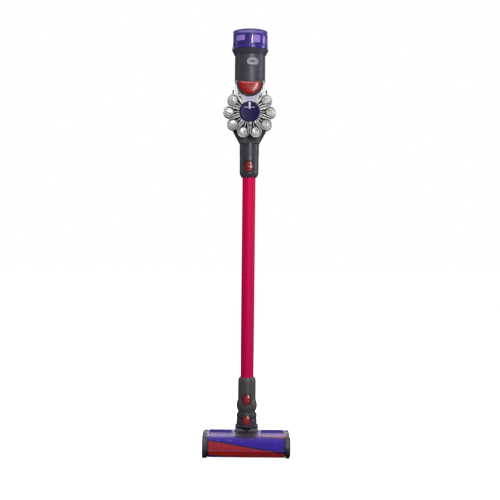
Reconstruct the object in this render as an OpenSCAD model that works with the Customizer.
// Cordless stick vacuum: hand unit with cyclones, clear bin, wand and soft-roller floor head.
// Z is up along the wand, the machine's face looks along -Y and the handle and bin point along +Y.
// The depth positions below are measured from the wand axis, and place() moves them to the row frame.

/* [Overall] */
// Height from the floor to the top of the exhaust filter
total_h = 1216; // [1150:1:1280]

/* [Floor head] */
// Width across both end frames
head_w = 250; // [240:1:262]
// Radius of the soft roller over its nap
roller_r = 30; // [29.5:0.5:30.5]
// Outer radius of the clear hood over the roller
hood_r = 36; // [35.5:0.5:36.5]
// Width of each end frame
end_w = 13; // [12.5:0.5:15]

/* [Neck] */
// Height of the tilt pivot above the floor
pivot_z = 65; // [64:0.5:66]
// Radius of the drum that the head tilts around
drum_r = 20; // [19.5:0.1:20]

/* [Wand] */
// Outer radius of the wand tube
wand_r = 19; // [18:0.5:19]
// Wall thickness of the wand tube
wand_t = 1.5; // [1:0.1:1.8]
// Outer radius of the upper cuff
cuff_r = 27.5; // [27:0.5:28]

/* [Bin and cyclones] */
// Outer radius of the clear bin
bin_r = 54; // [53:0.5:54]
// Number of outer cyclones, of which the two on top carry the crossover duct
lobes = 10; // [10:1:10]
// Radius of the circle through the lobe centres
lobe_ring = 58; // [56:0.5:58]
// Radius of each lobe
lobe_r = 17; // [16:0.5:17]

/* [Motor and filters] */
// Outer radius of the motor housing
motor_r = 43.5; // [43:0.5:44]
// Outer radius of the exhaust filter cap
cap_r = 52; // [51:0.5:53]
// Height of the exhaust filter cap
cap_h = 55; // [52:1:58]

/* [Handle and battery] */
// Half width of the handle grip
grip_r = 17; // [16:0.5:18]
// Depth of the battery's back face behind the wand axis
battery_back = 111; // [109:1:114]

/* [Fits] */
// Gap between a rotating shaft and its bore
run_gap = 0.05; // [0.03:0.01:0.08]
// Gap between a sliding piece and its guide
slide_gap = 0.2; // [0.15:0.05:0.3]

/* [Hidden] */
$fn = 64;

// Colours
graphite = [0.27, 0.27, 0.30];
dark = [0.13, 0.13, 0.15];
silver = [0.78, 0.78, 0.77];
red = [0.70, 0.06, 0.09];
magenta = [0.78, 0.03, 0.26];
violet = [0.22, 0.13, 0.60];
clear = [0.85, 0.86, 0.92, 0.35];
violet_clear = [0.42, 0.33, 0.72, 0.6];
steel = [0.70, 0.71, 0.73];
foam = [0.20, 0.22, 0.50];
board = [0.05, 0.35, 0.20];

// Floor head, depth from the wand axis
roller_y = -60;
roller_z = roller_r;
back_y = 36;
foot_z = 2;
head_top = roller_z + hood_r;
hood_t = 2.5;
end_bore = roller_r - 0.4;
half_w = head_w / 2;
inner_w = half_w - end_w;
roller_half = inner_w - 4;
lip_z = 25;
rear_slope = 22;
sole_top = foot_z + 4;
cover_t = 3;
core_r = 24;
roller_pulley_r = 14;
motor_pulley_r = 7;
lug_w = 7;
wall_y = -24.5;
notch_x = 34.4;
pod_x = 42;
saddle_r = drum_r + 0.4;
pin_r = 4;
lug_r = 12;
axle_r = 3;
wheel_r = 9;
wheel_y = 24;
wheel_x = 80;
wheel_half = 4.8;
wheel_pin_r = 2;
motor_y = 8;
motor_z = 34;

// Neck and wand couplings
neck_z0 = pivot_z + drum_r;
neck_z1 = 122;
sleeve_r = 20;
sleeve_drop = 9;
collar_gap = 0.4;
drum_wall = 2.5;
airway_r = 17;
spigot_r = 20.8;
socket_r = spigot_r + slide_gap;
lower_cuff_top = 222;
lower_seat = 178;
button_w = 20;
button_h = 30;
neck_button_h = 26;
neck_button_r = 29;
lower_button_r = 27.2;
coupling_r = 24.4;
coupling_gap = 0.3;
neck_button_z = 99.5;
lower_button_z = 159;
button_proud = 1.2;

// Hand unit, heights from the top of the machine
bin_z = total_h - 235;
duct_z0 = total_h - 350;
duct_straight = 32;
motor_z0 = total_h - 148;
motor_z1 = motor_z0 + 77;
collar_z1 = motor_z1 + 16;
motor_axis_y = -45;
upper_cuff_z0 = duct_z0 - 65;
upper_seat = duct_z0 - 26;

// Cyclone pack, depth from the wand axis
man_y0 = -72;
man_y1 = -58;
base_y0 = -27;
base_y1 = -23;
cone_ring = 53;
well_r = 31;
well_y0 = -84;
well_y1 = -44;
shroud_r = 37;
shroud_y1 = 50;
bin_y0 = base_y1 + 0.3;
bin_y1 = 102;
flap_y1 = 106.2;
flap_hinge_y = 104;
flap_hinge_z = bin_z - 58.5;
// Low enough to clear the flap's rim as it swings
lug_top = 3;
lever_r = 32;
lever_z = motor_z0 - 4;

// Handle
grip_z = motor_z0 + 55;
grip_flat = 5;
grip_y1 = 70;
battery_x = 30;
battery_z0 = motor_z0 - 10;
battery_z1 = motor_z0 + 95;
screw_x = 9;
screw_z = grip_z + 14;
trigger_y = 11;
trigger_z = grip_z - 16;

// The row frame puts the middle of the depth at Y = 0
front_y = roller_y - hood_r;
wand_y = -(front_y + battery_back) / 2;

module place() translate([0, wand_y, 0]) children();

// Extrusions of an outline drawn in the plane across the axis
module prism_x(x0, x1) translate([x0, 0, 0]) rotate([90, 0, 90]) linear_extrude(x1 - x0) children();
module prism_y(y0, y1) translate([0, y1, 0]) rotate([90, 0, 0]) linear_extrude(y1 - y0) children();

// Round bars and cones between two stations on an axis
module rod_x(x0, x1, r, y, z) translate([x0, y, z]) rotate([0, 90, 0]) cylinder(r = r, h = x1 - x0);
module rod_y(y0, y1, r, x, z) translate([x, y0, z]) rotate([-90, 0, 0]) cylinder(r = r, h = y1 - y0);
module cone_y(y0, y1, r0, r1, x, z)
    translate([x, y0, z]) rotate([-90, 0, 0]) cylinder(r1 = r0, r2 = r1, h = y1 - y0);
module rod_z(z0, z1, r, y = 0, x = 0) translate([x, y, z0]) cylinder(r = r, h = z1 - z0);
module cone_z(z0, z1, r0, r1, y = 0) translate([0, y, z0]) cylinder(r1 = r0, r2 = r1, h = z1 - z0);

// A bar with round ends, standing along the second axis of its plane
module stadium(w, h) {
    square([w, h - w], center = true);
    for (s = [-1, 1]) translate([0, s * (h - w) / 2]) circle(d = w);
}

// Position of outer cyclone k, counted round from the lower right lobe pair
function lobe_angle(k) = -72 + 360 / lobes * k;
module at_lobes(ring, list) {
    for (k = list)
        translate([ring * cos(lobe_angle(k)), 0, bin_z + ring * sin(lobe_angle(k))]) children();
}
ALL_LOBES = [for (k = [0:lobes - 1]) k];
// Lobes 4 and 5 sit under the crossover duct and have no cap
CAPPED_LOBES = [for (k = ALL_LOBES) if (abs(lobe_angle(k) - 90) > 20) k];

// ---------- Release buttons in the couplings ----------

module button_prism(r, z, h, grow, depth)
    prism_y(-r - 4, -depth) translate([0, z]) stadium(button_w + 2 * grow, h + 2 * grow);

// Pocket that a release button slides in, cut from the front of a cuff of radius r
module button_pocket(r, z, h = button_h) button_prism(r, z, h, 0.4, r - 5.5);

// The button follows the cuff's round front and stands a little proud of it
module round_button(r, z, h = button_h) {
    color(red) intersection() {
        button_prism(r, z, h, 0, r - 2.9);
        rod_z(z - h, z + h, r + button_proud);
    }
}

// ---------- Floor head ----------

module head_outline() {
    nose_y = roller_y - hood_r;
    difference() {
        polygon([[nose_y, foot_z], [nose_y, head_top], [back_y - rear_slope, head_top],
                 [back_y, head_top - rear_slope], [back_y, foot_z]]);
        difference() {
            translate([nose_y - 1, foot_z - 1]) square([hood_r + 1, head_top]);
            translate([roller_y, roller_z]) circle(r = hood_r);
        }
    }
}

module hood_section() {
    difference() {
        union() {
            translate([roller_y, roller_z]) circle(r = hood_r);
            translate([roller_y, roller_z]) square([back_y - rear_slope - roller_y, hood_r]);
        }
        translate([roller_y, roller_z]) circle(r = hood_r - hood_t);
        translate([roller_y, -20]) square([back_y - roller_y, 20 + head_top - hood_t]);
        translate([roller_y - 100, -100]) square([300, 100 + lip_z]);
    }
}

module head_hood() {
    color(clear) difference() {
        union() {
            difference() {
                prism_x(-inner_w, inner_w) hood_section();
                translate([-notch_x, wall_y + 0.5, head_top - 12]) cube([2 * notch_x, 80, 20]);
            }
            for (s = [-1, 1]) mirror([s < 0 ? 1 : 0, 0, 0]) {
                rod_x(notch_x, notch_x + lug_w, lug_r, 0, pivot_z);
                translate([notch_x, -16, head_top - hood_t]) cube([lug_w, 30, hood_t]);
            }
        }
        rod_x(-notch_x - 10, notch_x + 10, pin_r + run_gap, 0, pivot_z);
    }
}

module pod_outline(t) {
    polygon([[wall_y + 2 + t, sole_top + 0.1 + t], [wall_y + 2 + t, head_top - hood_t - t],
             [back_y - rear_slope - 0.4 * t, head_top - hood_t - t], [back_y - t, head_top - 24.5 - t],
             [back_y - t, sole_top + 0.1 + t]]);
}

// Hollow housings either side of the neck; the left one holds the brush motor
module rear_pods() {
    color(violet) for (s = [-1, 1]) mirror([s < 0 ? 1 : 0, 0, 0]) difference() {
        prism_x(pod_x, inner_w) pod_outline(0);
        prism_x(pod_x + 2, inner_w - 2) pod_outline(2);
        translate([wheel_x - 9, wheel_y - 12, 0]) cube([18, 30, 21]);
        rod_x(inner_w - 3, inner_w + 1, axle_r + 1, motor_y, motor_z);
    }
}

// Wall behind the roller, with the round seat that the neck drum turns in
module chamber_wall() {
    color(violet) difference() {
        union() {
            translate([-inner_w, wall_y, sole_top + 0.1])
                cube([2 * inner_w, 2, head_top - hood_t - sole_top - 0.2]);
            intersection() {
                prism_x(-notch_x + 1.6, notch_x - 1.6) difference() {
                    translate([0, pivot_z]) circle(r = saddle_r + 2.2);
                    translate([0, pivot_z]) circle(r = saddle_r);
                }
                translate([-notch_x, wall_y + 1, pivot_z - 30]) cube([2 * notch_x, -wall_y + 4, 28]);
            }
        }
        translate([-31, wall_y - 1, pivot_z - 16]) cube([62, 40, 30]);
    }
}

module sole_plate() {
    color(dark) difference() {
        union() {
            translate([-inner_w, wall_y, foot_z]) cube([2 * inner_w, back_y - wall_y, sole_top - foot_z]);
            for (s = [-1, 1], x = [wheel_x - 8.5, wheel_x + 5.5])
                translate([s > 0 ? x : -x - 3, wheel_y - 4, foot_z]) cube([3, 8, 10]);
        }
        for (s = [-1, 1]) translate([s * wheel_x - 5.2, wheel_y - 11, 0]) cube([10.4, 22, 20]);
        for (s = [-1, 1]) rod_x(s * wheel_x - 12, s * wheel_x + 12, wheel_pin_r, wheel_y, wheel_r);
    }
}

module wheel_axles() {
    color(steel) for (s = [-1, 1]) rod_x(s * wheel_x - 8.5, s * wheel_x + 8.5, wheel_pin_r, wheel_y, wheel_r);
}

module wheel(s) {
    color(dark) difference() {
        rod_x(s * wheel_x - wheel_half, s * wheel_x + wheel_half, wheel_r, wheel_y, wheel_r);
        rod_x(s * wheel_x - 6, s * wheel_x + 6, wheel_pin_r + run_gap, wheel_y, wheel_r);
    }
}

// Left end: belt case, open outwards and closed by the belt cover
module end_frame_left() {
    color(graphite) difference() {
        prism_x(-half_w + cover_t, -inner_w) head_outline();
        rod_x(-half_w + 2, -inner_w - 2, core_r, roller_y, roller_z);
        rod_x(-half_w + 2, -inner_w - 2, 18, motor_y, motor_z);
        translate([-half_w + 2, roller_y, motor_z - 20]) cube([end_w - 4, motor_y - roller_y, 36]);
        rod_x(-half_w, -inner_w + 1, axle_r + run_gap, roller_y, roller_z);
        rod_x(-half_w, -inner_w + 1, axle_r + run_gap, motor_y, motor_z);
    }
}

module belt_cover() {
    color(dark) difference() {
        prism_x(-half_w, -half_w + cover_t) intersection() {
            head_outline();
            translate([roller_y - hood_r + 1, 0]) square([100, head_top - 1]);
        }
        rod_x(-half_w - 1, -half_w + 1, core_r, roller_y, roller_z);
    }
}

module end_frame_right() {
    color(graphite) difference() {
        prism_x(inner_w, half_w - cover_t) head_outline();
        rod_x(inner_w - 1, half_w, end_bore, roller_y, roller_z);
    }
}

// Twist-out cap that holds the roller's free end, with a coin slot
module roller_end_cap() {
    color(dark) difference() {
        union() {
            rod_x(inner_w + 0.5, half_w - cover_t, end_bore - run_gap, roller_y, roller_z);
            rod_x(half_w - cover_t - 0.5, half_w, end_bore - 2.5, roller_y, roller_z);
        }
        rod_x(inner_w, inner_w + 8, axle_r + run_gap, roller_y, roller_z);
        translate([half_w - 1.5, roller_y - 12, roller_z - 1.5]) cube([3, 24, 3]);
    }
}

module roller_core() {
    color(dark) {
        difference() {
            rod_x(-roller_half, roller_half, core_r, roller_y, roller_z);
            rod_x(-roller_half + 4, roller_half - 4, core_r - 4, roller_y, roller_z);
        }
        rod_x(roller_half - 1, inner_w + 6, axle_r, roller_y, roller_z);
        rod_x(-inner_w - 8, -roller_half + 1, axle_r, roller_y, roller_z);
        difference() {
            rod_x(-half_w + 4.5, -inner_w - 2.5, roller_pulley_r, roller_y, roller_z);
            rod_x(-half_w + 4, -inner_w - 2, axle_r - 0.5, roller_y, roller_z);
        }
    }
}

module roller_nap() {
    color(red) difference() {
        rod_x(-roller_half, roller_half, roller_r, roller_y, roller_z);
        rod_x(-roller_half - 1, roller_half + 1, core_r, roller_y, roller_z);
    }
}

module brush_motor() {
    color(steel) {
        rod_x(-inner_w + 4, -inner_w + 54, 15, motor_y, motor_z);
        rod_x(-inner_w + 54, -inner_w + 58, 6, motor_y, motor_z);
    }
}

module motor_pulley() {
    color(steel) difference() {
        union() {
            rod_x(-half_w + 4.5, -inner_w - 2.5, motor_pulley_r, motor_y, motor_z);
            rod_x(-inner_w - 3, -inner_w + 3.5, axle_r, motor_y, motor_z);
        }
        rod_x(-half_w + 4, -half_w + 6, 2, motor_y, motor_z);
    }
}

// Outline of the belt round both pulleys, grown by the gap or the gap and the belt's thickness
module belt_loop(grow) hull() {
    translate([roller_y, roller_z]) circle(r = roller_pulley_r + grow);
    translate([motor_y, motor_z]) circle(r = motor_pulley_r + grow);
}

module drive_belt() {
    color(dark) prism_x(-half_w + 5, -inner_w - 3) difference() {
        belt_loop(1.7);
        belt_loop(0.3);
    }
}

// ---------- Neck ----------

module neck_yoke() {
    color(dark) difference() {
        union() {
            rod_x(-notch_x + 1.4, notch_x - 1.4, drum_r, 0, pivot_z);
            rotate_extrude() polygon([
                [0, pivot_z], [drum_r - 0.5, pivot_z], [drum_r + 2.2, pivot_z + 10],
                [33, pivot_z + 15.5], [33, pivot_z + 17.5], [30, neck_z0], [0, neck_z0]]);
        }
        rod_x(-notch_x + 4.4, notch_x - 4.4, drum_r - drum_wall, 0, pivot_z);
        rod_z(pivot_z, neck_z0 - sleeve_drop + 1, airway_r);
        rod_z(neck_z0 - sleeve_drop, neck_z0 + 1, sleeve_r + slide_gap);
        translate([-14, -drum_r - 2, pivot_z - drum_r - 2]) cube([28, drum_r + 2, drum_r - 1]);
        rod_x(-notch_x, notch_x, pin_r, 0, pivot_z);
    }
}

module pivot_pins() {
    color(steel) for (s = [-1, 1]) mirror([s < 0 ? 1 : 0, 0, 0])
        rod_x(notch_x - 4.4, notch_x + 7.3, pin_r, 0, pivot_z);
}

module neck_cuff() {
    color(graphite) difference() {
        rotate_extrude() polygon([
            [airway_r, neck_z0 - sleeve_drop + slide_gap], [sleeve_r, neck_z0 - sleeve_drop + slide_gap],
            [sleeve_r, neck_z0 + collar_gap], [29.6, neck_z0 + collar_gap],
            [29.3, neck_z1 - 26], [28.2, neck_z1 - 18], [29.5, neck_z1 - 12], [28.6, neck_z1 - 6],
            [coupling_r, neck_z1], [spigot_r, neck_z1],
            [spigot_r, lower_seat - 7], [airway_r, lower_seat - 7]]);
        button_pocket(neck_button_r, neck_button_z, neck_button_h);
    }
}

module neck_button() round_button(neck_button_r, neck_button_z, neck_button_h);

// ---------- Wand ----------

module wand_lower_cuff() {
    color(graphite) difference() {
        rotate_extrude() polygon([
            [socket_r, neck_z1 + coupling_gap], [coupling_r, neck_z1 + coupling_gap],
            [26.6, neck_z1 + 5], [28.9, neck_z1 + 11],
            [29.7, neck_z1 + 17], [29.3, neck_z1 + 23], [28, neck_z1 + 29], [25.9, neck_z1 + 36],
            [25.6, lower_cuff_top - 10], [24.4, lower_cuff_top - 4],
            [22, lower_cuff_top], [wand_r, lower_cuff_top],
            [wand_r, lower_seat], [airway_r + 0.6, lower_seat], [airway_r + 0.6, lower_seat - 6],
            [socket_r, lower_seat - 6]]);
        button_pocket(lower_button_r, lower_button_z);
    }
}

module wand_lower_button() round_button(lower_button_r, lower_button_z);

module wand_tube() {
    color(magenta) difference() {
        rod_z(lower_seat, upper_seat, wand_r);
        rod_z(lower_seat - 1, upper_seat + 1, wand_r - wand_t);
    }
}

module wand_upper_cuff() {
    color(graphite) difference() {
        rotate_extrude() polygon([
            [wand_r, upper_cuff_z0], [21.5, upper_cuff_z0],
            [24.5, upper_cuff_z0 + 5], [cuff_r - 0.2, upper_cuff_z0 + 11],
            [cuff_r, duct_z0 - coupling_gap], [spigot_r, duct_z0 - coupling_gap],
            [spigot_r, duct_z0 + 37], [airway_r, duct_z0 + 37],
            [airway_r, upper_seat], [wand_r, upper_seat]]);
        button_pocket(cuff_r, upper_cuff_z0 + 31);
    }
}

module wand_upper_button() round_button(cuff_r, upper_cuff_z0 + 31);

// ---------- Inlet, cyclones and bin ----------

// Socket for the wand that flares out to the front of the bin
module inlet_duct() {
    color(graphite) difference() {
        union() {
            rod_z(duct_z0, duct_z0 + duct_straight, cuff_r + 0.5);
            hull() {
                rod_z(duct_z0 + duct_straight - 1, duct_z0 + duct_straight, cuff_r + 0.5, $fn = 32);
                for (s = [-1, 1]) rod_y(base_y1 + 0.1, 26, 6, s * 44, bin_z - 40, $fn = 24);
            }
        }
        rod_z(duct_z0 - 1, duct_z0 + 38, socket_r);
        rod_z(duct_z0 + 37, bin_z, airway_r);
        rod_y(-80, 80, bin_r + 0.6, 0, bin_z);
        translate([-60, base_y1 - 20, duct_z0 + duct_straight + 2]) cube([120, 20, 80]);
    }
}

// Plate that carries the cyclones, the inlet duct and the motor housing
module cyclone_base() {
    color(graphite) difference() {
        prism_y(base_y0, base_y1) union() {
            translate([0, bin_z]) circle(r = bin_r + 7);
            translate([-30, bin_z]) square([60, motor_z0 - bin_z]);
            polygon([[-47, bin_z - 36], [-27, duct_z0 + duct_straight + 2], [27, duct_z0 + duct_straight + 2],
                     [47, bin_z - 36]]);
        }
        for (a = [90:72:378])
            rod_y(base_y0 - 1, base_y1 + 1, 9, 20 * cos(a), bin_z + 20 * sin(a));
    }
}

// Silver flower: the lobed plate over the outer cyclones, hollow behind to share out the air
module lobed_outline(t) {
    translate([0, bin_z]) circle(r = lobe_ring + 3 - t);
    for (k = ALL_LOBES)
        translate([0, bin_z]) rotate(lobe_angle(k)) translate([lobe_ring, 0]) circle(r = lobe_r - t);
}

module cyclone_manifold() {
    color(silver) difference() {
        prism_y(man_y0, man_y1) lobed_outline(0);
        prism_y(man_y0 + 3, man_y1 + 1) difference() {
            lobed_outline(3);
            translate([0, bin_z]) circle(r = well_r + 3);
        }
        rod_y(man_y0 - 12, man_y1 + 1, well_r + 0.2, 0, bin_z);
    }
}

module outer_cyclones() {
    color(silver) at_lobes(cone_ring, ALL_LOBES) difference() {
        cone_y(man_y1, base_y0, 16, 8, 0, 0);
        cone_y(man_y1 + 2, base_y0 + 0.01, 14, 6, 0, 0);
    }
}

module cyclone_caps() {
    color(silver) at_lobes(lobe_ring, CAPPED_LOBES) {
        rotate([90, 0, 0]) translate([0, 0, -man_y0])
            rotate_extrude() polygon([[0, 0], [15.5, 0], [15, 3.5], [12, 7.5], [7, 9.5], [0, 10]]);
    }
}

module inner_cyclones() {
    color(silver) for (k = [0:4])
        translate([20 * cos(90 + 72 * k), 0, bin_z + 20 * sin(90 + 72 * k)]) difference() {
            cone_y(base_y1, 20, 11, 5, 0, 0);
            cone_y(base_y1 - 0.01, 20.01, 9.5, 3.5, 0, 0);
        }
}

// Perforated screen round the inner cyclones, with a flared skirt
module shroud() {
    color(silver) translate([0, base_y1, bin_z]) rotate([-90, 0, 0]) rotate_extrude() polygon([
        [shroud_r - 2, 0], [shroud_r, 0], [shroud_r, shroud_y1 - base_y1], [44, shroud_y1 - base_y1 + 9],
        [42, shroud_y1 - base_y1 + 9], [shroud_r - 2, shroud_y1 - base_y1 + 2], [16, shroud_y1 - base_y1 + 2],
        [16, shroud_y1 - base_y1], [shroud_r - 2, shroud_y1 - base_y1 - 0.5]]);
}

// Funnel and tube that take the fine dust down to the flap
module fines_tube() {
    color(violet_clear) translate([0, 22, bin_z]) rotate([-90, 0, 0]) rotate_extrude() polygon([
        [32, 0], [34, 0], [34, 2], [15.8, 20], [15.8, 76], [14.3, 76], [14.3, 19], [32, 1.4]]);
}

module prefilter_well() {
    color(dark) difference() {
        rod_y(well_y0, well_y1, well_r, 0, bin_z);
        rod_y(well_y0 - 1, well_y1 - 2, well_r - 1.5, 0, bin_z);
        translate([-18, man_y0 - 6, bin_z + 20]) cube([36, 4.5, 20]);
    }
}

module prefilter_cap() {
    color(violet) {
        difference() {
            translate([0, -92, bin_z]) rotate([-90, 0, 0]) rotate_extrude() polygon([
                [0, 3], [20, 2], [25, 0], [27.5, 1], [28.7, 3.5], [28.7, 12], [0, 12]]);
            rod_y(-84, -79, 26, 0, bin_z);
        }
        translate([-2, -92, bin_z]) cube([4, 5, 24]);
    }
}

module prefilter_sock() {
    color(foam) difference() {
        rod_y(-84, -50, 25.8, 0, bin_z);
        rod_y(-85, -54, 19, 0, bin_z);
    }
}

// Flat duct from the prefilter up to the motor, widening under the release button
module duct_outline(t)
    polygon([for (s = [1, -1]) each (s > 0
        ? [[19 - t, bin_z + 24], [29 - t, bin_z + 52], [29 - t, motor_z0 + t]]
        : [[t - 29, motor_z0 + t], [t - 29, bin_z + 52], [t - 19, bin_z + 24]])]);

module crossover_duct() {
    color(silver) difference() {
        prism_y(man_y0 - 7.5, man_y0) duct_outline(0);
        prism_y(man_y0 - 6, man_y0 - 1.5) duct_outline(1.5);
        rod_y(man_y0 - 12, man_y1 + 1, well_r + 0.2, 0, bin_z);
    }
}

module half_disc(r) {
    intersection() {
        translate([0, lever_z]) circle(r = r);
        translate([-60, lever_z - 60]) square([120, 63.5]);
    }
}

module release_bezel() {
    color(dark) difference() {
        prism_y(-87.5, -79.7) half_disc(lever_r + 6);
        prism_y(-90, -81) half_disc(lever_r + 0.4);
        translate([-22, -84, lever_z + 3]) cube([44, 5, 5]);
    }
}

module bin_release_button() {
    color(red) difference() {
        prism_y(-90, -84.5) intersection() {
            half_disc(lever_r);
            translate([-60, lever_z - 60]) square([120, 63]);
        }
        prism_y(-88, -84) half_disc(lever_r - 3);
    }
}

module release_rod() {
    color(red) translate([-5, base_y1, bin_z + bin_r + 1.5]) cube([10, 120, 3.5]);
}

// Clear bin with the side port that the inlet duct blows into
module clear_bin() {
    color(clear) difference() {
        union() {
            rod_y(bin_y0, bin_y1, bin_r, 0, bin_z);
            for (s = [-1, 1]) translate([s * 10.5 - 2.5, bin_y1 - 8, flap_hinge_z - 3]) cube([5, 13, 10]);
        }
        rod_y(bin_y0 - 1, bin_y1 + 20, bin_r - 2.5, 0, bin_z);
        rod_z(bin_z - bin_r - 4, bin_z - 20, airway_r);
        translate([-20, bin_y1 + 0.1, flap_hinge_z + lug_top]) cube([40, 10, 10]);
        rod_x(-20, 20, 1.5 + run_gap, flap_hinge_y, flap_hinge_z);
    }
}

module bin_flap() {
    color(clear) {
        rod_y(bin_y1 + 0.2, flap_y1, bin_r + 0.5, 0, bin_z);
        translate([-7.7, bin_y1 + 0.5, flap_hinge_z - 2.6]) cube([15.4, flap_y1 - bin_y1 - 0.5, 8]);
        rod_x(-12.6, 12.6, 1.5, flap_hinge_y, flap_hinge_z);
        translate([-7, bin_y1 - 0.8, bin_z + bin_r + 0.3]) cube([14, flap_y1 - bin_y1 + 0.8, 5.2]);
    }
}

module flap_seal() {
    color(dark) difference() {
        rod_y(bin_y1 - 3.6, bin_y1 + 0.2, bin_r - 3.2, 0, bin_z);
        rod_y(bin_y1 - 5, bin_y1 + 1, bin_r - 6.5, 0, bin_z);
    }
}

// ---------- Motor and exhaust filter ----------

module motor_housing() {
    color(graphite) difference() {
        rod_z(motor_z0, motor_z1, motor_r, motor_axis_y);
        rod_z(motor_z0 + 3, motor_z1 + 1, motor_r - 2.5, motor_axis_y);
        translate([-19, man_y0 - 6, motor_z0 - 1]) cube([38, 4.5, 5]);
    }
}

module exhaust_collar() {
    color(graphite) difference() {
        cone_z(motor_z1, collar_z1, motor_r, cap_r, motor_axis_y);
        cone_z(motor_z1 - 0.01, collar_z1 + 0.01, motor_r - 2.5, cap_r - 2.5, motor_axis_y);
    }
}

module motor_can() {
    color(steel) difference() {
        union() {
            rod_z(motor_z0 + 14, motor_z0 + 60, 30, motor_axis_y);
            rod_z(motor_z0 + 34, motor_z0 + 40, motor_r - 2.6, motor_axis_y);
        }
        rod_z(motor_z0 + 17, motor_z0 + 57, 27.5, motor_axis_y);
        rod_z(motor_z0 + 10, motor_z0 + 64, 2.5 + run_gap, motor_axis_y);
        for (a = [0:45:315])
            translate([0, motor_axis_y, 0]) rotate(a) rod_z(motor_z0 + 30, motor_z0 + 44, 4, 0, 35.5);
    }
}

// Impeller, shaft and magnet turn as one
module impeller() {
    color(dark) {
        rod_z(motor_z0 + 5, motor_z0 + 64, 2.5, motor_axis_y);
        rod_z(motor_z0 + 20, motor_z0 + 54, 12, motor_axis_y);
        rod_z(motor_z0 + 10, motor_z0 + 12.5, 26, motor_axis_y);
        for (a = [0:40:320]) translate([0, motor_axis_y, motor_z0 + 5]) rotate(a)
            translate([2, -1, 0]) cube([22, 2, 6]);
    }
}

module postfilter_cap() {
    color(violet_clear) translate([0, motor_axis_y, collar_z1]) rotate_extrude() polygon([
        [cap_r - 2.5, 3.2], [cap_r - 2.5, 0.3], [cap_r, 0.3], [cap_r, cap_h - 5], [cap_r - 1.5, cap_h - 1.5],
        [cap_r - 5, cap_h], [0, cap_h], [0, cap_h - 2.5],
        [cap_r - 5.5, cap_h - 2.5], [cap_r - 2.5, cap_h - 5.5]]);
}

module postfilter_frame() {
    color(dark) translate([0, motor_axis_y, collar_z1]) rotate_extrude() polygon([
        [26, 0.5], [42, 0.5], [42, -6], [motor_r, -6], [motor_r + 0.5, 0.3], [cap_r - 2.6, 0.3],
        [cap_r - 2.6, 3.2], [26, 3.2]]);
}

module postfilter_media() {
    color("white") difference() {
        rod_z(collar_z1 + 3.2, collar_z1 + 42, 45, motor_axis_y);
        rod_z(collar_z1 + 3, collar_z1 + 43, 28, motor_axis_y);
        for (a = [0:15:345]) translate([0, motor_axis_y, 0]) rotate(a)
            translate([40, -1, collar_z1]) cube([10, 2, 60]);
    }
}

// Plain oval plate on the front of the motor housing
module oval_badge() {
    color(silver) intersection() {
        difference() {
            rod_z(motor_z0 + 40, motor_z0 + 75, motor_r + 0.8, motor_axis_y);
            rod_z(motor_z0 + 39, motor_z0 + 76, motor_r + 0.03, motor_axis_y);
        }
        prism_y(-100, motor_axis_y) translate([7, motor_z0 + 56]) rotate(90) stadium(20, 33);
    }
}

// ---------- Handle and battery ----------

module grip_outline(t) translate([0, grip_z]) stadium(2 * (grip_r - t), 2 * (grip_r + grip_flat - t));

module handle_shell(s) {
    color(graphite) difference() {
        intersection() {
            prism_y(motor_axis_y + 20, grip_y1) grip_outline(0);
            translate([s > 0 ? 0.01 : -40, -60, grip_z - 40]) cube([39.99, 200, 80]);
        }
        prism_y(motor_axis_y, grip_y1 - 2.5) grip_outline(2.5);
        rod_z(motor_z0 - 5, motor_z1 + 5, motor_r, motor_axis_y);
        translate([-6.6, trigger_y - 6, grip_z - 30]) cube([13.2, 36, 20]);
        rod_z(grip_z, grip_z + 40, 6.3, 12);
        rod_x(-30, 30, 2 + run_gap, trigger_y, trigger_z);
        rod_y(grip_y1 - 5, grip_y1 + 1, 1.6, s * screw_x, screw_z);
    }
}

module handle_shell_left() handle_shell(-1);
module handle_shell_right() handle_shell(1);

// Red trigger that turns on its own stub pins
module trigger() {
    color(red) {
        prism_x(-6, 6)
            polygon([[trigger_y - 4, trigger_z + 3], [trigger_y - 4, trigger_z - 10],
                     [trigger_y + 2, trigger_z - 16], [trigger_y + 14, trigger_z - 14.5],
                     [trigger_y + 27, trigger_z - 17], [trigger_y + 28, trigger_z - 8],
                     [trigger_y + 12, trigger_z + 1], [trigger_y, trigger_z + 4]]);
        rod_x(-11.8, 11.8, 2, trigger_y, trigger_z);
    }
}

module max_button() {
    color(red) {
        rod_z(grip_z + grip_r + grip_flat - 6, grip_z + grip_r + grip_flat + 1.5, 6, 12);
    }
}

module control_board() {
    color(board) translate([-10, 45, grip_z + 4]) cube([20, 20, 1.6]);
}

module battery_outline(t) {
    r = 7;
    translate([-battery_x + t, battery_z0 + r])
        square([2 * (battery_x - t), battery_z1 - battery_z0 - 2 * r]);
    translate([-battery_x + r, battery_z0 + t])
        square([2 * (battery_x - r), battery_z1 - battery_z0 - 2 * t]);
    for (x = [-1, 1], z = [battery_z0 + r, battery_z1 - r])
        translate([x * (battery_x - r), z]) circle(r = r - t);
}

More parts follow.
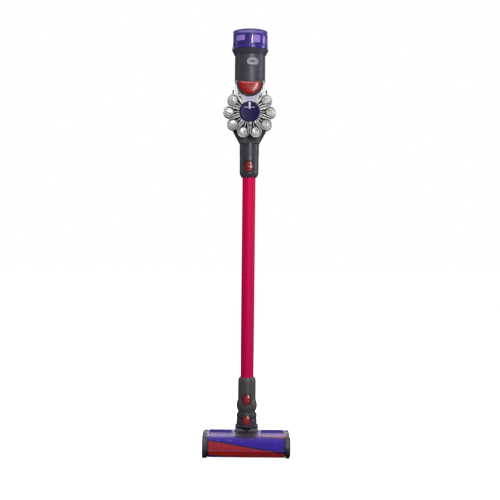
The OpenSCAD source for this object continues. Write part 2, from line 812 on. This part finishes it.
module battery_case() {
    color(graphite) difference() {
        prism_y(grip_y1, battery_back) battery_outline(0);
        prism_y(grip_y1 + 2, battery_back - 2) battery_outline(2);
        rod_y(battery_back - 3, battery_back + 1, 5.1, 0, battery_z1 - 12);
        for (x = [-screw_x, screw_x]) {
            rod_y(battery_back - 3, battery_back + 1, 3.2, x, screw_z);
            rod_y(grip_y1 - 1, grip_y1 + 3, 1.6, x, screw_z);
        }
    }
}

module battery_cells() {
    color(steel) for (x = [-1:1], y = [0, 1])
        rod_z(battery_z0 + 6, battery_z0 + 71, 9, grip_y1 + 11.2 + 18.6 * y, x * 18.4);
}

module battery_screws() {
    color(steel) for (x = [-screw_x, screw_x]) {
        rod_y(grip_y1 + 2, grip_y1 + 5, 3, x, screw_z);
        rod_y(grip_y1 - 10, grip_y1 + 2.5, 1.5, x, screw_z);
    }
}

// Round power socket for the charging plug
module charge_socket() {
    color(dark) difference() {
        rod_y(battery_back - 14, battery_back, 5, 0, battery_z1 - 12);
        rod_y(battery_back - 10, battery_back + 1, 2.75, 0, battery_z1 - 12);
    }
}

place() inlet_duct();
place() cyclone_base();
place() cyclone_manifold();
place() outer_cyclones();
place() cyclone_caps();
place() inner_cyclones();
place() shroud();
place() fines_tube();
place() prefilter_well();
place() crossover_duct();
place() release_bezel();
place() release_rod();
place() motor_housing();
place() exhaust_collar();
place() motor_can();
place() handle_shell_left();
place() handle_shell_right();
place() control_board();
place() battery_case();
place() battery_cells();
place() battery_screws();
place() charge_socket();
place() oval_badge();
place() trigger();
place() max_button();
place() bin_release_button();
place() impeller();
place() prefilter_cap();
place() prefilter_sock();
place() postfilter_cap();
place() postfilter_media();
place() postfilter_frame();
place() clear_bin();
place() bin_flap();
place() flap_seal();
place() wand_tube();
place() wand_upper_cuff();
place() wand_lower_cuff();
place() wand_upper_button();
place() wand_lower_button();
place() neck_cuff();
place() neck_button();
place() neck_yoke();
place() pivot_pins();
place() head_hood();
place() chamber_wall();
place() rear_pods();
place() sole_plate();
place() end_frame_left();
place() end_frame_right();
place() belt_cover();
place() brush_motor();
place() wheel_axles();
place() roller_end_cap();
place() roller_core();
place() roller_nap();
place() motor_pulley();
place() drive_belt();
place() wheel(-1);  // wheel_left
place() wheel(1);  // wheel_right
